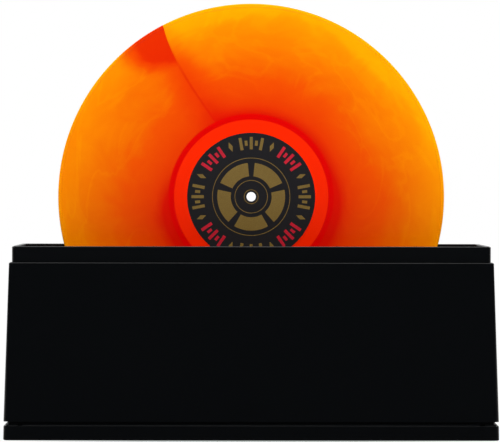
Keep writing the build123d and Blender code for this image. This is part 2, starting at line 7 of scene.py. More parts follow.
import bpy
import numpy as np
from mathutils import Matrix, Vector


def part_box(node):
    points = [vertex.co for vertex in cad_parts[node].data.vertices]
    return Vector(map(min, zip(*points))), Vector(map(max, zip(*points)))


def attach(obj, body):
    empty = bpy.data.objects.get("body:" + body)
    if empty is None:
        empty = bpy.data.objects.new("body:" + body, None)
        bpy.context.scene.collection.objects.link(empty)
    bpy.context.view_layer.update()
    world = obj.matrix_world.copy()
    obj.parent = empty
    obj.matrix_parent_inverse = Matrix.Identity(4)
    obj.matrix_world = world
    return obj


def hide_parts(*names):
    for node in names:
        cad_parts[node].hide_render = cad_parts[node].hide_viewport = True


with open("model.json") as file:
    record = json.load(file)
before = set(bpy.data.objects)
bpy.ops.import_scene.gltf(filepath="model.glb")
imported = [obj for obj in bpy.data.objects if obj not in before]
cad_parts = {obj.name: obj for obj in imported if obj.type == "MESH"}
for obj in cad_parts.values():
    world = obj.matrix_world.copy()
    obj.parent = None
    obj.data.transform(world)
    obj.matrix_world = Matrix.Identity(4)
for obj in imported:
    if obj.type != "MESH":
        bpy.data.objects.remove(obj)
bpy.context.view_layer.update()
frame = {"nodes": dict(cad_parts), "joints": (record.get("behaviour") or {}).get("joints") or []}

MM = 0.001
NODES = frame["nodes"]
JOINTS = {joint["name"]: joint for joint in frame["joints"]}
RECORD_CENTRE = Vector(JOINTS["record_spin"]["pos_m"])


# ---------------------------------------------------------------- meshes
def mesh_from_arrays(name, points, faces, smooth=True):
    """A mesh object from an (n, 3) array of points and an (m, 4) array of faces."""
    mesh = bpy.data.meshes.new(name)
    mesh.from_pydata(points.tolist(), [], faces.tolist())
    mesh.polygons.foreach_set("use_smooth", np.full(len(mesh.polygons), smooth))
    mesh.update()
    piece = bpy.data.objects.new(name, mesh)
    bpy.context.scene.collection.objects.link(piece)
    return piece


def grid_faces(rows, columns, wrap_rows=False, wrap_columns=False):
    """Quads of a rows x columns grid of points; a wrapped direction joins its end to its start."""
    row = np.arange(rows if wrap_rows else rows - 1)
    column = np.arange(columns if wrap_columns else columns - 1)
    a, b = np.meshgrid(row, column, indexing="ij")
    a_next, b_next = (a + 1) % rows, (b + 1) % columns
    corners = ((a, b), (a_next, b), (a_next, b_next), (a, b_next))
    return np.stack([(i * columns + j).ravel() for i, j in corners], axis=1)


def revolved(name, radius, depth, start, centre, turns):
    """A closed profile (radius r, depth y, starting angle s) turned about the Y axis through the
    centre: (x, y, z) = centre + (r cos(s - t), y, r sin(s - t)), with t running once round,
    clockwise as seen from the front, and r, y and s round the profile."""
    turn = np.linspace(0, 2 * pi, turns, endpoint=False)
    r, y, s = (np.repeat(a[:, None], turns, axis=1) for a in (radius, depth, start))
    x, z = r * np.cos(s - turn), r * np.sin(s - turn)
    points = np.stack([centre.x + x, centre.y + y, centre.z + z], axis=-1)
    faces = grid_faces(len(radius), turns, True, True)[:, ::-1]
    return mesh_from_arrays(name, points.reshape(-1, 3), faces)


# ---------------------------------------------------------------- material helpers
def linear(hex_colour):
    """The linear RGBA of an sRGB hex colour such as "f08a00"."""
    value = np.array([int(hex_colour[i : i + 2], 16) for i in (0, 2, 4)]) / 255
    value = np.where(value <= 0.04045, value / 12.92, ((value + 0.055) / 1.055) ** 2.4)
    return (*value.tolist(), 1.0)


def add_node(tree, kind, settings=None, **inputs):
    """Adds a node; settings are its properties, and inputs its sockets, by name or by "_number".
    A socket takes a value, an output of another node, or a node, which gives its first output."""
    node = tree.nodes.new(kind)
    for key, value in (settings or {}).items():
        setattr(node, key, value)
    for key, value in inputs.items():
        place = int(key[1:]) if key[0] == "_" else key.replace("_", " ")
        socket = node.inputs[place]
        if isinstance(value, bpy.types.Node):
            value = value.outputs[0]
        if isinstance(value, bpy.types.NodeSocket):
            tree.links.new(value, socket)
        else:
            socket.default_value = value
    return node


def new_material(name):
    """A material whose tree holds one Principled surface; returns material, tree and surface."""
    material = bpy.data.materials.new(name)
    material.use_nodes = True
    tree = material.node_tree
    return material, tree, tree.nodes["Principled BSDF"]


def moulded_plastic(name, colour, roughness, grain_mm, relief_mm, mottling=0.04, shine=0.5):
    """Moulded plastic or rubber: an even colour, a grain from the mould, grain_mm wide and
    relief_mm deep, that softens its sheen, and a roughness that wanders by mottling in soft
    clouds."""
    material, tree, surface = new_material(name)
    place = add_node(tree, "ShaderNodeTexCoord").outputs["Object"]
    grain, cloud = (
        add_node(
            tree,
            "ShaderNodeTexNoise",
            Vector=place,
            Scale=1 / size,
            Detail=detail,
            Roughness=unevenness,
        )
        for size, detail, unevenness in ((grain_mm * MM, 3.0, 0.6), (1 / 18.0, 4.0, 0.55))
    )
    spread = add_node(
        tree,
        "ShaderNodeMapRange",
        Value=cloud,
        From_Min=0.3,
        From_Max=0.7,
        To_Min=roughness - mottling,
        To_Max=roughness + mottling,
    )
    relief = add_node(
        tree, "ShaderNodeBump", Height=grain, Strength=1.0, Distance=relief_mm * MM
    )
    surface.inputs["Base Color"].default_value = linear(colour)
    surface.inputs["Specular IOR Level"].default_value = shine
    tree.links.new(spread.outputs["Result"], surface.inputs["Roughness"])
    tree.links.new(relief.outputs["Normal"], surface.inputs["Normal"])
    return material


# Moulded ABS from a spark-eroded mould: satin black. Its grain is drawn coarser than the real
# 0.3 mm, so that it shows.
HOUSING_ABS = moulded_plastic("moulded_abs_housing", "060708", 0.38, 0.7, 0.010, shine=0.20)
# The same ABS from a smoother mould, which takes a little more shine.
BASIN_ABS = moulded_plastic("moulded_abs_basin", "070809", 0.34, 0.9, 0.008, shine=0.24)
# Acetal racks and brush holders: dark grey, waxy, lightly grained. The hubs are a paler grey.
RACK_ACETAL = moulded_plastic("moulded_acetal_dark", "2c2e31", 0.44, 0.6, 0.010)
HUB_ACETAL = moulded_plastic("moulded_acetal_grey", "8c9094", 0.40, 0.6, 0.008)
# Bushes and spacers turned from natural acetal: ivory, smoother than a moulding.
BUSH_ACETAL = moulded_plastic("turned_acetal_natural", "e4e0d4", 0.36, 0.5, 0.006)
# Soft rubber: matt, with a faint bloom.
TYRE_RUBBER = moulded_plastic("moulded_rubber_tyre", "1b1c1e", 0.62, 0.5, 0.020, 0.07)
FOOT_RUBBER = moulded_plastic("moulded_rubber_foot", "202124", 0.70, 0.5, 0.020, 0.07)


def drawn_steel():
    """Drawn stainless bar: bright, with fine lines along it from the die, 0.25 mm apart."""
    material, tree, surface = new_material("drawn_stainless_steel")
    place = add_node(tree, "ShaderNodeTexCoord").outputs["Object"]
    stretched = add_node(tree, "ShaderNodeMapping", Vector=place, Scale=(1.0, 0.02, 1.0))
    pitch = 0.25 * MM
    lines = add_node(tree, "ShaderNodeTexNoise", Vector=stretched, Scale=1 / pitch, Detail=2.0)
    sheen = add_node(
        tree,
        "ShaderNodeMapRange",
        Value=lines,
        From_Min=0.3,
        From_Max=0.7,
        To_Min=0.18,
        To_Max=0.34,
    )
    relief = add_node(tree, "ShaderNodeBump", Height=lines, Strength=0.6, Distance=0.01 * MM)
    surface.inputs["Base Color"].default_value = linear("c4c6c8")
    surface.inputs["Metallic"].default_value = 1.0
    tree.links.new(sheen.outputs["Result"], surface.inputs["Roughness"])
    tree.links.new(relief.outputs["Normal"], surface.inputs["Normal"])
    return material


AXLE_STEEL = drawn_steel()

for node_name, material in {
    "housing": HOUSING_ABS,
    "drip_tray": HOUSING_ABS,
    "tray_feet": FOOT_RUBBER,
    "basin": BASIN_ABS,
    "rack_front": RACK_ACETAL,
    "rack_rear": RACK_ACETAL,
    "brush_holder_front": RACK_ACETAL,
    "brush_holder_rear": RACK_ACETAL,
    "roller_hub_left": HUB_ACETAL,
    "roller_hub_right": HUB_ACETAL,
    "roller_tyre_left": TYRE_RUBBER,
    "roller_tyre_right": TYRE_RUBBER,
    "roller_bushes_left": BUSH_ACETAL,
    "roller_bushes_right": BUSH_ACETAL,
    "roller_spacers_left": BUSH_ACETAL,
    "roller_spacers_right": BUSH_ACETAL,
    "roller_axle_left": AXLE_STEEL,
    "roller_axle_right": AXLE_STEEL,
}.items():
    NODES[node_name].data.materials.clear()
    NODES[node_name].data.materials.append(material)


# ---------------------------------------------------------------- record
# Radii, half thicknesses and grooves in millimetres. The modelled grooves are far wider than real
# ones, so that they show.
HOLE_R, LABEL_R, RUN_OUT_R, GROOVES_END_R, BEAD_R, RIM_R = 3.65, 50.0, 64.4, 146.4, 147.6, 150.8
STEP_START_R, STEP_END_R, DARK_RING_R = 50.6, 51.6, 60.2
LAND_HALF, GROOVE_HALF, RIM_HALF = 0.9, 0.725, 0.95
GROOVE_PITCH, LEAD_OUT_PITCH, GROOVE_DEPTH = 1.6, 4.8, 0.03
TRACK_GAPS, TRACK_GAP_HALF = (79.0, 95.0, 110.0, 127.0), 1.0
DRAWN_GROOVE_PITCH = 0.8


def record_profile():
    """The record's half section as one closed loop: the face's half thickness is flat on the label
    land and bevelled at the hole, steps down by half a cosine into the run-out, which has narrow
    lead-out grooves, dips by depth * sin^2(pi r / pitch) for each groove except in the gaps between
    tracks, slopes up to the rim bead and closes on a half circle."""
    bevel = 0.3
    land = np.array([HOLE_R, HOLE_R + bevel, 8.0, 20.0, 35.0, 49.0])
    step_in = np.linspace(STEP_START_R, STEP_END_R, 4)
    run_out = np.linspace(LABEL_R + 2.0, RUN_OUT_R, 24)
    playing = np.arange(RUN_OUT_R + GROOVE_PITCH / 2, GROOVES_END_R, GROOVE_PITCH / 2)
    bead = np.array([147.0, BEAD_R, 147.9, 148.3, 148.6])
    turn = np.linspace(0, pi / 2, 6)
    edge = RIM_R - RIM_HALF + RIM_HALF * np.sin(turn)
    r = np.concatenate([land, step_in, run_out, playing, bead, edge])

    half = np.full_like(r, GROOVE_HALF)
    half[r <= LABEL_R] = LAND_HALF
    inner = (r > LABEL_R) & (r < STEP_END_R)
    step_share = (r[inner] - STEP_START_R) / (STEP_END_R - STEP_START_R)
    half[inner] += (LAND_HALF - GROOVE_HALF) * (0.5 + 0.5 * np.cos(pi * step_share))
    outer = r >= BEAD_R
    half[outer] += (RIM_HALF - GROOVE_HALF) * np.clip(r[outer] - BEAD_R, 0, 1)
    in_gap = np.min(np.abs(r[:, None] - np.array(TRACK_GAPS)), axis=1) < TRACK_GAP_HALF
    cut = (r > RUN_OUT_R) & (r < GROOVES_END_R) & ~in_gap
    half[cut] -= GROOVE_DEPTH * np.sin(pi * (r[cut] - RUN_OUT_R) / GROOVE_PITCH) ** 2
    lead_out = (r > LABEL_R + 3) & (r < RUN_OUT_R)
    half[lead_out] -= GROOVE_DEPTH * np.sin(pi * (r[lead_out] - LABEL_R) / LEAD_OUT_PITCH) ** 12
    half[-len(edge) :] = RIM_HALF * np.cos(turn)
    half[0] = LAND_HALF - bevel
    return np.concatenate([r, r[-2::-1]]), np.concatenate([-half, half[-2::-1]])


def reach_of(r):
    """v = (r - r_run_out) / (r_rim - r_run_out), for r in millimetres."""
    return (r - RUN_OUT_R) / (RIM_R - RUN_OUT_R)


def seam_angle(r):
    """Where the flow fronts met, anticlockwise from +X: 115.7 + 11.1 v - 9.5 v^2 degrees."""
    v = np.clip(reach_of(r), 0, 1)
    return np.radians(115.7 + 11.1 * v - 9.5 * v**2)


def flow_map(disc):
    """Gives the disc a UV map "flow" that follows the pressing: u = (seam(r) - angle) / 2 pi runs
    once round, clockwise from the seam, and v runs from the run-out to the rim."""
    mesh = disc.data
    points = np.empty(3 * len(mesh.vertices))
    mesh.vertices.foreach_get("co", points)
    x, _, z = (points.reshape(-1, 3) - np.array(RECORD_CENTRE)).T
    r = np.hypot(x, z) / MM
    corner = np.empty(len(mesh.loops), dtype=int)
    mesh.loops.foreach_get("vertex_index", corner)
    u = ((seam_angle(r) - np.arctan2(z, x)) / (2 * pi) % 1.0)[corner].reshape(-1, 4)
    v = reach_of(r)[corner].reshape(-1, 4)
    # A face that ends at the seam has u = 1 there, and one that starts at it has u = 0.
    u = np.where(u > 1 - 1e-4, 0.0, u)
    u = np.where((u < 0.25) & (u.max(axis=1, keepdims=True) > 0.75), u + 1.0, u)
    layer = mesh.uv_layers.new(name="flow")
    layer.data.foreach_set("uv", np.stack([u, v], axis=-1).ravel())


def marbled_vinyl():
    """Pressed vinyl: coloured pellets smeared outwards as the puck is squeezed, so red at the label
    runs through orange to amber at the rim, with one hard seam where the flow fronts met. Turn runs
    from 0 to 1 clockwise from the seam, reach from 0 at the run-out to 1 at the rim, and shade from
    red at 0 to amber at 1.2."""
    material, tree, surface = new_material("pressed_vinyl_marbled")
    smooth = {"interpolation_type": "SMOOTHSTEP"}
    multiply_add = {"operation": "MULTIPLY_ADD"}
    flow = add_node(tree, "ShaderNodeUVMap", {"uv_map": "flow"})
    axes = add_node(tree, "ShaderNodeSeparateXYZ", Vector=flow).outputs
    turn, reach = axes["X"], axes["Y"]

    # Three kinds of cloud, stretched round the disc: broad ones, fine wisps and one for the veins.
    clouds, wisps, vein_cloud = (
        add_node(
            tree,
            "ShaderNodeTexNoise",
            Vector=add_node(tree, "ShaderNodeMapping", Vector=flow, Location=shift, Scale=stretch),
            Scale=1.0,
            Detail=detail,
            Roughness=roughness,
            Distortion=distortion,
        )
        for shift, stretch, detail, roughness, distortion in (
            ((0.0, 0.0, 0.0), (5.0, 1.6, 1.0), 3.0, 0.50, 1.2),
            ((0.0, 0.0, 0.0), (22.0, 3.0, 1.0), 5.0, 0.55, 2.0),
            ((3.1, 1.7, 0.0), (9.0, 2.2, 1.0), 4.0, 0.50, 1.6),
        )
    )
    # Broad clouds bend the colour bands and wisps fray them. Both fade out towards the run-out,
    # where the colour is even.
    bend = add_node(tree, "ShaderNodeMath", multiply_add, _0=clouds, _1=0.34, _2=-0.17)
    fray = add_node(tree, "ShaderNodeMath", multiply_add, _0=wisps, _1=0.20, _2=-0.10)
    unrest = add_node(tree, "ShaderNodeMath", {"operation": "ADD"}, _0=bend, _1=fray)
    hold = add_node(tree, "ShaderNodeMapRange", smooth, Value=reach, From_Min=0.0, From_Max=0.45)
    shade = add_node(tree, "ShaderNodeMath", multiply_add, _0=unrest, _1=hold, _2=reach)
    # Thin pale veins run where their cloud crosses its middle value.
    off_middle = add_node(
        tree, "ShaderNodeMath", {"operation": "PINGPONG"}, _0=vein_cloud, _1=0.5
    )
    veins = add_node(
        tree,
        "ShaderNodeMapRange",
        smooth,
        Value=off_middle,
        From_Min=0.44,
        From_Max=0.50,
        To_Max=0.06,
    )
    shade = add_node(tree, "ShaderNodeMath", multiply_add, _0=veins, _1=hold, _2=shade)

    # Amber lies along the rim clockwise of the seam, in lobes that follow 0.18 of a turn apart, and
    # ends within a third of a turn. From there on the disc is less yellow, most of all near its rim:
    # partly its own colour and partly painted shade, as the light falls off round the bottom. Short
    # of the seam it took more yellow again, most of all near the label.
    lobe_phase = add_node(
        tree, "ShaderNodeMath", multiply_add, _0=turn, _1=2 * pi / 0.18, _2=-0.87
    )
    lobes = add_node(tree, "ShaderNodeMath", {"operation": "COSINE"}, _0=lobe_phase)
    amber_edge = add_node(tree, "ShaderNodeMath", multiply_add, _0=lobes, _1=0.06, _2=reach)
    amber_reach = add_node(tree, "ShaderNodeMath", multiply_add, _0=unrest, _1=0.5, _2=amber_edge)
    amber = add_node(
        tree,
        "ShaderNodeMapRange",
        smooth,
        Value=amber_reach,
        From_Min=0.82,
        From_Max=0.92,
        To_Max=0.15,
    )
    near_rim = add_node(tree, "ShaderNodeMath", multiply_add, _0=reach, _1=0.72, _2=0.28)
    near_label = add_node(tree, "ShaderNodeMath", {"operation": "SUBTRACT"}, _0=1.0, _1=reach)
    for start, end, most, where in (
        (0.32, 0.20, 1.0, amber),
        # Partly painted shade: less yellow round the bottom, most near the rim.
        (0.24, 0.36, -0.20, near_rim),
        (0.78, 0.90, 0.15, near_label),
    ):
        side = add_node(
            tree,
            "ShaderNodeMapRange",
            smooth,
            Value=turn,
            From_Min=start,
            From_Max=end,
            To_Max=most,
        )
        shade = add_node(tree, "ShaderNodeMath", multiply_add, _0=side, _1=where, _2=shade)

    # A painted highlight runs along the bead at the rim, where light gathers in the clear edge.
    bead = add_node(
        tree, "ShaderNodeMapRange", Value=reach, From_Min=0.972, From_Max=0.992, To_Max=0.17
    )
    shade = add_node(tree, "ShaderNodeMath", {"operation": "ADD"}, _0=shade, _1=bead)

    # Red is dragged out along both sides of the seam, narrowing and fading towards the rim, and the
    # seam itself is a fine line in it.
    off_seam = add_node(tree, "ShaderNodeMath", {"operation": "PINGPONG"}, _0=turn, _1=0.5)
    half_width = add_node(tree, "ShaderNodeMath", multiply_add, _0=reach, _1=-0.050, _2=0.062)
    off_share = add_node(
        tree, "ShaderNodeMath", {"operation": "DIVIDE"}, _0=off_seam, _1=half_width
    )
    streak = add_node(
        tree,
        "ShaderNodeMapRange",
        smooth,
        Value=off_share,
        From_Min=1.0,
        From_Max=0.0,
        To_Max=0.68,
    )
    seam_line = add_node(
        tree, "ShaderNodeMapRange", Value=off_seam, From_Min=0.0050, From_Max=0.0010, To_Max=0.86
    )
    streak = add_node(tree, "ShaderNodeMath", {"operation": "MAXIMUM"}, _0=streak, _1=seam_line)
    fading = add_node(
        tree,
        "ShaderNodeMapRange",
        smooth,
        Value=reach,
        From_Min=1.0,
        From_Max=0.50,
        To_Min=0.2,
    )
    dragged = add_node(tree, "ShaderNodeMath", {"operation": "MULTIPLY"}, _0=streak, _1=fading)

    # A dense red patch lies at the rim short of the seam, deepest right beside it.
    frayed_turn = add_node(tree, "ShaderNodeMath", multiply_add, _0=unrest, _1=0.08, _2=turn)
    patch_turn = add_node(
        tree, "ShaderNodeMapRange", smooth, Value=frayed_turn, From_Min=0.950, From_Max=0.976
    )
    slanted_reach = add_node(
        tree, "ShaderNodeMath", multiply_add, _0=frayed_turn, _1=5.0, _2=reach
    )
    patch_reach = add_node(
        tree,
        "ShaderNodeMapRange",
        smooth,
        Value=slanted_reach,
        From_Min=5.44,
        From_Max=5.66,
        To_Max=0.93,
    )
    patch = add_node(
        tree, "ShaderNodeMath", {"operation": "MULTIPLY"}, _0=patch_turn, _1=patch_reach
    )
    red_share = add_node(tree, "ShaderNodeMath", {"operation": "MAXIMUM"}, _0=dragged, _1=patch)
    kept = add_node(tree, "ShaderNodeMath", {"operation": "SUBTRACT"}, _0=1.0, _1=red_share)
    shade = add_node(tree, "ShaderNodeMath", {"operation": "MULTIPLY"}, _0=shade, _1=kept)

    pigment = add_node(tree, "ShaderNodeMapRange", Value=shade, From_Min=0.0, From_Max=1.2)
    colours = add_node(tree, "ShaderNodeValToRGB", Fac=pigment)
    stops = (
        (0.00, "dc1000"),
        (0.08, "e83800"),
        (0.25, "ee4e00"),
        (0.43, "f26c00"),
        (0.60, "f88200"),
        (0.75, "fb9200"),
        (0.85, "ff9e00"),
        (1.00, "ffa800"),
    )
    ramp = colours.color_ramp
    for position, _ in stops[1:-1]:
        ramp.elements.new(position)
    for element, (position, tint) in zip(ramp.elements, stops):
        element.position = position
        element.color = linear(tint)

    # The run-out is clear red, in a bright ring by the label and a dark one outside it.
    dark_ring = add_node(
        tree,
        "ShaderNodeMapRange",
        Value=reach,
        From_Min=reach_of(DARK_RING_R - 0.4),
        From_Max=reach_of(DARK_RING_R + 0.4),
    )
    run_out = add_node(
        tree,
        "ShaderNodeMix",
        {"data_type": "RGBA"},
        Factor=dark_ring,
        A=linear("fb2600"),
        B=linear("e00200"),
    )
    playing = add_node(
        tree, "ShaderNodeMapRange", Value=reach, From_Min=-0.004, From_Max=0.008
    )
    body = add_node(
        tree,
        "ShaderNodeMix",
        {"data_type": "RGBA"},
        Factor=playing,
        A=run_out.outputs["Result"],
        B=colours,
    )
    # Fine grooves: real ones are 0.1 mm apart, drawn wider so that they show.
    wave = add_node(
        tree,
        "ShaderNodeMath",
        {"operation": "MULTIPLY"},
        _0=reach,
        _1=2 * pi * (RIM_R - RUN_OUT_R) / DRAWN_GROOVE_PITCH,
    )
    groove = add_node(tree, "ShaderNodeMath", {"operation": "SINE"}, _0=wave)
    relief = add_node(tree, "ShaderNodeBump", Height=groove, Strength=0.4, Distance=0.003 * MM)
    tree.links.new(body.outputs["Result"], surface.inputs["Base Color"])
    tree.links.new(relief.outputs["Normal"], surface.inputs["Normal"])
    surface.inputs["Roughness"].default_value = 0.30
    surface.inputs["Specular IOR Level"].default_value = 0.05
    return material


record_radius, record_depth = record_profile()
disc = revolved(
    "record_vinyl_disc",
    record_radius * MM,
    record_depth * MM,
    seam_angle(record_radius),
    RECORD_CENTRE,
    300,
)
flow_map(disc)
disc.data.materials.append(marbled_vinyl())
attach(disc, "record")
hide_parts("record_disc")


# ---------------------------------------------------------------- label print
def ring_band(inner, outer, start_deg, end_deg):
    """Part of a flat ring in millimetres from the label's centre, as an array of its inner and its
    outer arc: (x, z) = (r sin t, r cos t), with t clockwise from the top, in steps of 1 mm or so."""
    steps = 2 + int(outer * radians(end_deg - start_deg))
    t = np.radians(np.linspace(start_deg, end_deg, steps))
    return np.array([np.stack([r * np.sin(t), r * np.cos(t)], axis=1) for r in (inner, outer)])


def ring_marks(centre_deg, spacing_deg, count, width, inner, outer):
    """Radial bars from radius inner to radius outer, of an even width in millimetres and spaced
    evenly about centre_deg, each as an array of its inner and its outer end."""
    marks = []
    for n in range(count):
        t = radians(centre_deg + spacing_deg * (n - (count - 1) / 2))
        outward, across = np.array([sin(t), cos(t)]), np.array([cos(t), -sin(t)]) * width / 2
        ends = [[r * outward - across, r * outward + across] for r in (inner, outer)]
        marks.append(np.array(ends))
    return marks


def print_layer(name, shapes, face_y, rise):
    """Flat inked shapes on a label. Each is a strip between two curves of (x, z) points, which lies
    at depth face_y and again at face_y + rise, and is closed round its edge. A strip whose curves
    end where they start is joined into a ring. Everything is in millimetres."""
    points, faces, start = [], [], 0
    for inner, outer in shapes:
        joined = np.allclose(inner[0], inner[-1])
        columns = len(inner) - joined
        ring = np.stack([inner, outer, outer, inner])[:, :columns] * MM
        depth = np.array([face_y, face_y, face_y + rise, face_y + rise])[:, None, None] * MM
        depth = np.broadcast_to(depth, (4, columns, 1))
        block = np.concatenate([ring[..., :1], depth, ring[..., 1:]], axis=-1).reshape(-1, 3)
        quads = grid_faces(4, columns, wrap_rows=True, wrap_columns=joined)
        if not joined:
            ends = np.arange(4) * columns
            quads = np.concatenate([quads, [ends[::-1], ends + columns - 1]])
        points.append(block + np.array(RECORD_CENTRE))
        faces.append((quads if rise < 0 else quads[:, ::-1]) + start)
        start += len(block)
    return mesh_from_arrays(name, np.concatenate(points), np.concatenate(faces), smooth=False)


def printed_ink(name, colour):
    """Screen ink on uncoated paper: a fifth darker between fibres, which are some 0.45 mm apart."""
    material, tree, surface = new_material(name)
    place = add_node(tree, "ShaderNodeTexCoord").outputs["Object"]
    fibre = add_node(tree, "ShaderNodeTexNoise", Vector=place, Scale=2200.0, Detail=3.0)
    cover = add_node(tree, "ShaderNodeMapRange", Value=fibre, From_Min=0.35, From_Max=0.65)
    full = linear(colour)
    mix = add_node(
        tree,
        "ShaderNodeMix",
        {"data_type": "RGBA"},
        Factor=cover,
        A=(full[0] * 0.8, full[1] * 0.8, full[2] * 0.8, 1.0),
        B=full,
    )
    tree.links.new(mix.outputs["Result"], surface.inputs["Base Color"])
    surface.inputs["Roughness"].default_value = 0.6
    surface.inputs["Specular IOR Level"].default_value = 0.2
    return material


# The label's paper is flooded with black first, and gold and red are laid on it.
LABEL_PAPER = printed_ink("uncoated_label_paper", "232122")
GOLD_INK = printed_ink("gold_screen_ink", "7c6330")
RED_INK = printed_ink("red_screen_ink", "c01f30")

# Eight groups of plain marks round the edge, in gold and red by turns, with a diamond between
# groups; a broad ring in five arcs between two fine rings; and a fine ring round the hole.
gold_shapes, red_shapes = [], []
for group in range(8):
    shapes = (gold_shapes, red_shapes)[group % 2]
    middle = 45 * group
    shapes += ring_marks(middle, spacing_deg=11.0, count=3, width=2.4, inner=37.0, outer=46.7)
    shapes += ring_marks(middle, spacing_deg=11.0, count=2, width=2.2, inner=40.0, outer=44.0)
    t = radians(middle + 22.5)
    diamond = np.array([[0, 46.0], [-1.7, 42.0], [1.7, 42.0], [0, 38.0]])
    diamond = diamond @ np.array([[cos(t), -sin(t)], [sin(t), cos(t)]])
    gold_shapes.append(diamond.reshape(2, 2, 2))
for radius in (5.2, 12.5, 30.0):
    gold_shapes.append(ring_band(radius, radius + 0.5, 0, 360))
for start_deg in range(6, 360, 72):
    gold_shapes.append(ring_band(16.0, 26.5, start_deg, start_deg + 60))

# The ink starts 0.01 mm inside the 0.15 mm paper.
INK_START, INK_THICKNESS = LAND_HALF + 0.14, 0.03
for side, sign in (("front", -1), ("rear", 1)):
    label = NODES[f"record_label_{side}"]
    label.data.materials.clear()
    label.data.materials.append(LABEL_PAPER)
    for ink_name, shapes, ink in (("gold", gold_shapes, GOLD_INK), ("red", red_shapes, RED_INK)):
        layer = print_layer(
            f"label_print_{ink_name}_{side}", shapes, sign * INK_START, sign * INK_THICKNESS
        )
        layer.data.materials.append(ink)
        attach(layer, "record")


# ---------------------------------------------------------------- brushes
def soft_block(name, low, high, working_face, relief, rounding, columns, rows):
    """A closed soft block between two corners. Its working face is a grid over (x, z), sunk by
    relief(x, z); its sides swell out by rounding * sqrt(sin(pi s)), s running from face to back."""
    x = np.linspace(low[0] + rounding, high[0] - rounding, columns)
    z = np.linspace(low[2] + rounding, high[2] - rounding, rows)
    x_grid, z_grid = np.meshgrid(x, z, indexing="ij")
    back_face = low[1] if working_face == high[1] else high[1]
    inward = np.sign(back_face - working_face)
    face = np.stack([x_grid, working_face + inward * relief(x_grid, z_grid), z_grid], axis=-1)
    back = np.stack([x_grid, np.full_like(x_grid, back_face), z_grid], axis=-1)
    count = columns * rows
    index = np.arange(count).reshape(columns, rows)
    border = np.concatenate([index[:, 0], index[-1, 1:], index[-2::-1, -1], index[0, -2:0:-1]])
    middle = np.array([(low[0] + high[0]) / 2, 0, (low[2] + high[2]) / 2])
    face_points, back_points = face.reshape(-1, 3), back.reshape(-1, 3)
    outward = face_points[border] - middle
    outward[:, 1] = 0
    # Along x and z, outward is 1 or -1 on a side and 0 between.
    half = np.array([x[-1] - middle[0], 1, z[-1] - middle[2]])
    outward = np.where(np.abs(outward) > half * 0.999, np.sign(outward), 0.0)
    layers = 5
    s = np.linspace(0, 1, layers + 2)[1:-1]
    swell = rounding * np.sqrt(np.sin(pi * s))
    sides = [
        face_points[border] * (1 - t) + back_points[border] * t + outward * w
        for t, w in zip(s, swell)
    ]
    points = np.concatenate([face_points, back_points, *sides])
    loops = [border] + [2 * count + len(border) * n + np.arange(len(border)) for n in range(layers)]
    loops.append(border + count)
    walls = [
        np.stack([a, b, np.roll(b, -1), np.roll(a, -1)], axis=1) for a, b in zip(loops, loops[1:])
    ]
    sheet = grid_faces(columns, rows)
    faces = np.concatenate([sheet[:, ::-1], sheet + count, *walls])
    return mesh_from_arrays(name, points, faces if inward > 0 else faces[:, ::-1])


PILE_PITCH, PILE_HEIGHT = 1.6 * MM, 0.7 * MM
FOAM_WAVE, FOAM_WAVE_HEIGHT = 9 * MM, 0.05 * MM


def pile_relief(x, z):
    """Tufts in staggered rows: depth = height * (1 - cos^2(pi x / p) cos^2(pi (z + stagger) / p)),
    each tuft a little longer or shorter than the next."""
    row = np.round(x / PILE_PITCH)
    shift = np.where(row % 2 == 0, 0.0, PILE_PITCH / 2)
    column = np.round((z + shift) / PILE_PITCH)
    # Steps in the sine's angle with no common period scatter the tufts' lengths.
    uneven = 0.5 + 0.5 * np.sin(row * 12.9898 + column * 78.233)
    crown = np.cos(pi * x / PILE_PITCH) ** 2 * np.cos(pi * (z + shift) / PILE_PITCH) ** 2
    return PILE_HEIGHT * (1 - crown * (0.75 + 0.25 * uneven))


def plain_relief(x, z):
    """A foam face with shallow waves: depth = height * (1 - cos(2 pi x / p) cos(2 pi z / p))."""
    wave = 2 * pi / FOAM_WAVE
    return FOAM_WAVE_HEIGHT * (1 - np.cos(wave * x) * np.cos(wave * z))


def soft_material(name, light, dark, cell_mm, sheen):
    """Pile or foam: matt, speckled and dimpled by fibres or cells that are cell_mm apart."""
    material, tree, surface = new_material(name)
    place = add_node(tree, "ShaderNodeTexCoord").outputs["Object"]
    cells = add_node(tree, "ShaderNodeTexVoronoi", Vector=place, Scale=1 / (cell_mm * MM))
    mix = add_node(
        tree,
        "ShaderNodeMix",
        {"data_type": "RGBA"},
        Factor=cells,
        A=linear(light),
        B=linear(dark),
    )
    relief = add_node(tree, "ShaderNodeBump", Height=cells, Strength=0.6, Distance=0.1 * MM)
    tree.links.new(mix.outputs["Result"], surface.inputs["Base Color"])
    tree.links.new(relief.outputs["Normal"], surface.inputs["Normal"])
    surface.inputs["Roughness"].default_value = 0.9
    surface.inputs["Sheen Weight"].default_value = sheen
    return material


# Woven nylon pile: pale grey, with a soft sheen off its tips.
NYLON_PILE = soft_material("woven_nylon_pile", "d2d4d6", "9fa2a6", 0.5, 0.4)
# Closed-cell polyethylene foam: dark grey and matt, speckled by its cut cells.
FOAM = soft_material("closed_cell_foam", "4a4e54", "34373c", 0.8, 0.1)
for side in ("front", "rear"):
    for kind, relief, rounding, columns, rows, material, slot in (
        ("pad", pile_relief, 0.6 * MM, 100, 236, NYLON_PILE, "brush_pile"),
        ("foam", plain_relief, 0.5 * MM, 24, 50, FOAM, "brush_foam"),
    ):
        node_name = f"brush_{kind}_{side}"
        low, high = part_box(node_name)
        working_face = high[1] if side == "front" else low[1]
        block = soft_block(
            f"brush_{kind}_{side}_soft", low, high, working_face, relief, rounding, columns, rows
        )
        block.data.materials.append(material)
        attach(block, f"brush_{side}")
        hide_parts(node_name)


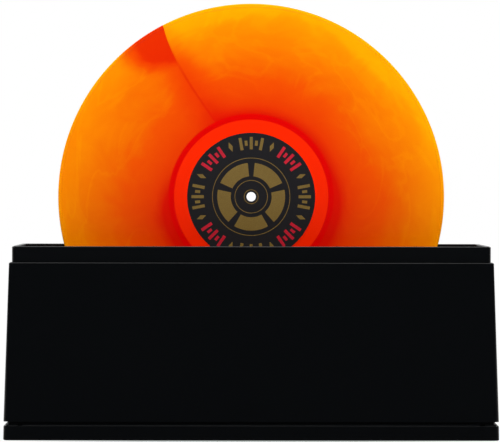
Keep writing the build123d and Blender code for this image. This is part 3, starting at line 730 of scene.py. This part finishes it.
# ---------------------------------------------------------------- studio
def studio_floor():
    """A matt floor, faintly blue, that keeps the washer's shadow, turns plain white away from it and
    can be seen through from below. Shiny faces see it dim in front of the washer, as if a black
    flag lay there: the front stays black, and the ends and the back take a little sheen."""
    bpy.ops.mesh.primitive_plane_add(size=60)
    floor = bpy.context.object
    floor.name = "studio_floor"
    material, tree, surface = new_material("matt_white_floor")
    surface.inputs["Base Color"].default_value = linear("d2e2f8")
    surface.inputs["Roughness"].default_value = 0.9
    surface.inputs["Specular IOR Level"].default_value = 0.0
    place = add_node(tree, "ShaderNodeTexCoord").outputs["Object"]
    path = add_node(tree, "ShaderNodeLightPath").outputs

    # The camera sees the shadow through a veil of white, thin by the washer and full 0.24 m away.
    distance = add_node(tree, "ShaderNodeVectorMath", {"operation": "LENGTH"}, _0=place)
    away = add_node(
        tree,
        "ShaderNodeMapRange",
        {"interpolation_type": "SMOOTHSTEP"},
        Value=distance.outputs["Value"],
        From_Min=0.09,
        From_Max=0.24,
        To_Min=0.42,
    )
    seen = add_node(
        tree, "ShaderNodeMath", {"operation": "MULTIPLY"}, _0=path["Is Camera Ray"], _1=away
    )
    white = add_node(tree, "ShaderNodeEmission", Strength=1.0)
    blend = add_node(tree, "ShaderNodeMixShader", _0=seen, _1=surface, _2=white)

    # The flag lies in front of the washer and ends under it.
    depth = add_node(tree, "ShaderNodeSeparateXYZ", Vector=place).outputs["Y"]
    flag = add_node(
        tree,
        "ShaderNodeMapRange",
        Value=depth,
        From_Min=-0.1,
        From_Max=0.1,
        To_Min=0.06,
        To_Max=0.8,
    )
    mirrored = add_node(tree, "ShaderNodeEmission", Strength=flag)
    flagged = add_node(
        tree, "ShaderNodeMixShader", _0=path["Is Glossy Ray"], _1=blend, _2=mirrored
    )

    clear = add_node(tree, "ShaderNodeBsdfTransparent")
    below = add_node(tree, "ShaderNodeNewGeometry").outputs["Backfacing"]
    one_way = add_node(tree, "ShaderNodeMixShader", _0=below, _1=flagged, _2=clear)
    tree.links.new(one_way.outputs["Shader"], tree.nodes["Material Output"].inputs["Surface"])
    floor.data.materials.append(material)


def softbox(name, place, target, size, power, mirrored=True):
    """A square area lamp at place, facing target; shiny faces see it only if mirrored."""
    lamp = bpy.data.lights.new(name, "AREA")
    lamp.size = size
    lamp.energy = power
    lamp_object = bpy.data.objects.new(name, lamp)
    lamp_object.location = place
    direction = Vector(target) - Vector(place)
    lamp_object.rotation_euler = direction.to_track_quat("-Z", "Y").to_euler()
    lamp_object.visible_glossy = mirrored
    bpy.context.scene.collection.objects.link(lamp_object)


def studio_world(room):
    """A white surround for the camera. Shiny faces see a white sweep behind the washer and the dim
    room elsewhere, and matt ones get the room's light alone."""
    world = bpy.data.worlds.new("studio_surround")
    world.use_nodes = True
    tree = world.node_tree
    backdrop = tree.nodes["Background"]
    path = add_node(tree, "ShaderNodeLightPath").outputs
    place = add_node(tree, "ShaderNodeTexCoord").outputs["Object"]
    direction = add_node(tree, "ShaderNodeSeparateXYZ", Vector=place).outputs
    sweep = add_node(
        tree, "ShaderNodeMapRange", Value=direction["Y"], From_Min=0.2, From_Max=0.7
    )
    mirrored = add_node(
        tree, "ShaderNodeMath", {"operation": "MULTIPLY"}, _0=sweep, _1=path["Is Glossy Ray"]
    )
    white = add_node(
        tree, "ShaderNodeMath", {"operation": "MAXIMUM"}, _0=mirrored, _1=path["Is Camera Ray"]
    )
    bright = add_node(tree, "ShaderNodeMapRange", Value=white, To_Min=room, To_Max=1.0)
    backdrop.inputs["Color"].default_value = (1.0, 1.0, 1.0, 1.0)
    tree.links.new(bright.outputs["Result"], backdrop.inputs["Strength"])
    bpy.context.scene.world = world


def front_camera():
    """A long lens square to the front, level with the record's centre. The frame is 500 x 442
    pixels, with the horizon and the record's centre at the pixels given."""
    width_px, height_px, focal_px = 500, 442, 3728.5
    distance, height, sideways = 2.914, 0.1899, -0.012
    horizon_px, centre_px, roll_deg = 192.0, 251.18, -0.08
    camera = bpy.data.cameras.new("camera")
    camera.sensor_width = 36.0
    camera.lens = camera.sensor_width * focal_px / width_px
    camera.clip_start, camera.clip_end = 0.1, 100.0
    camera_object = bpy.data.objects.new("camera", camera)
    pitch = atan((height_px / 2 - horizon_px) / focal_px)
    yaw = atan((centre_px - width_px / 2) / focal_px) + atan(sideways / distance)
    camera_object.location = (sideways, -distance, height)
    camera_object.rotation_euler = (pi / 2 - pitch, radians(roll_deg), yaw)
    bpy.context.scene.collection.objects.link(camera_object)
    bpy.context.scene.camera = camera_object


studio_floor()
studio_world(0.03)
# The lamps face the washer's middle; sizes are in metres and powers in watts. The front pair isn't
# mirrored, so that the black front stays black.
HEART = (0, 0, 0.17)
softbox("key_left", (-1.6, -2.0, 1.9), HEART, 1.4, 49, mirrored=False)
softbox("key_right", (1.6, -2.0, 1.9), HEART, 1.4, 51, mirrored=False)
softbox("back_left", (-1.6, 2.0, 1.9), HEART, 1.4, 40)
softbox("back_right", (1.6, 2.0, 1.9), HEART, 1.4, 40)
softbox("top", (0, 0, 2.8), HEART, 2.2, 45)
front_camera()
bpy.context.scene.view_settings.view_transform = "Standard"
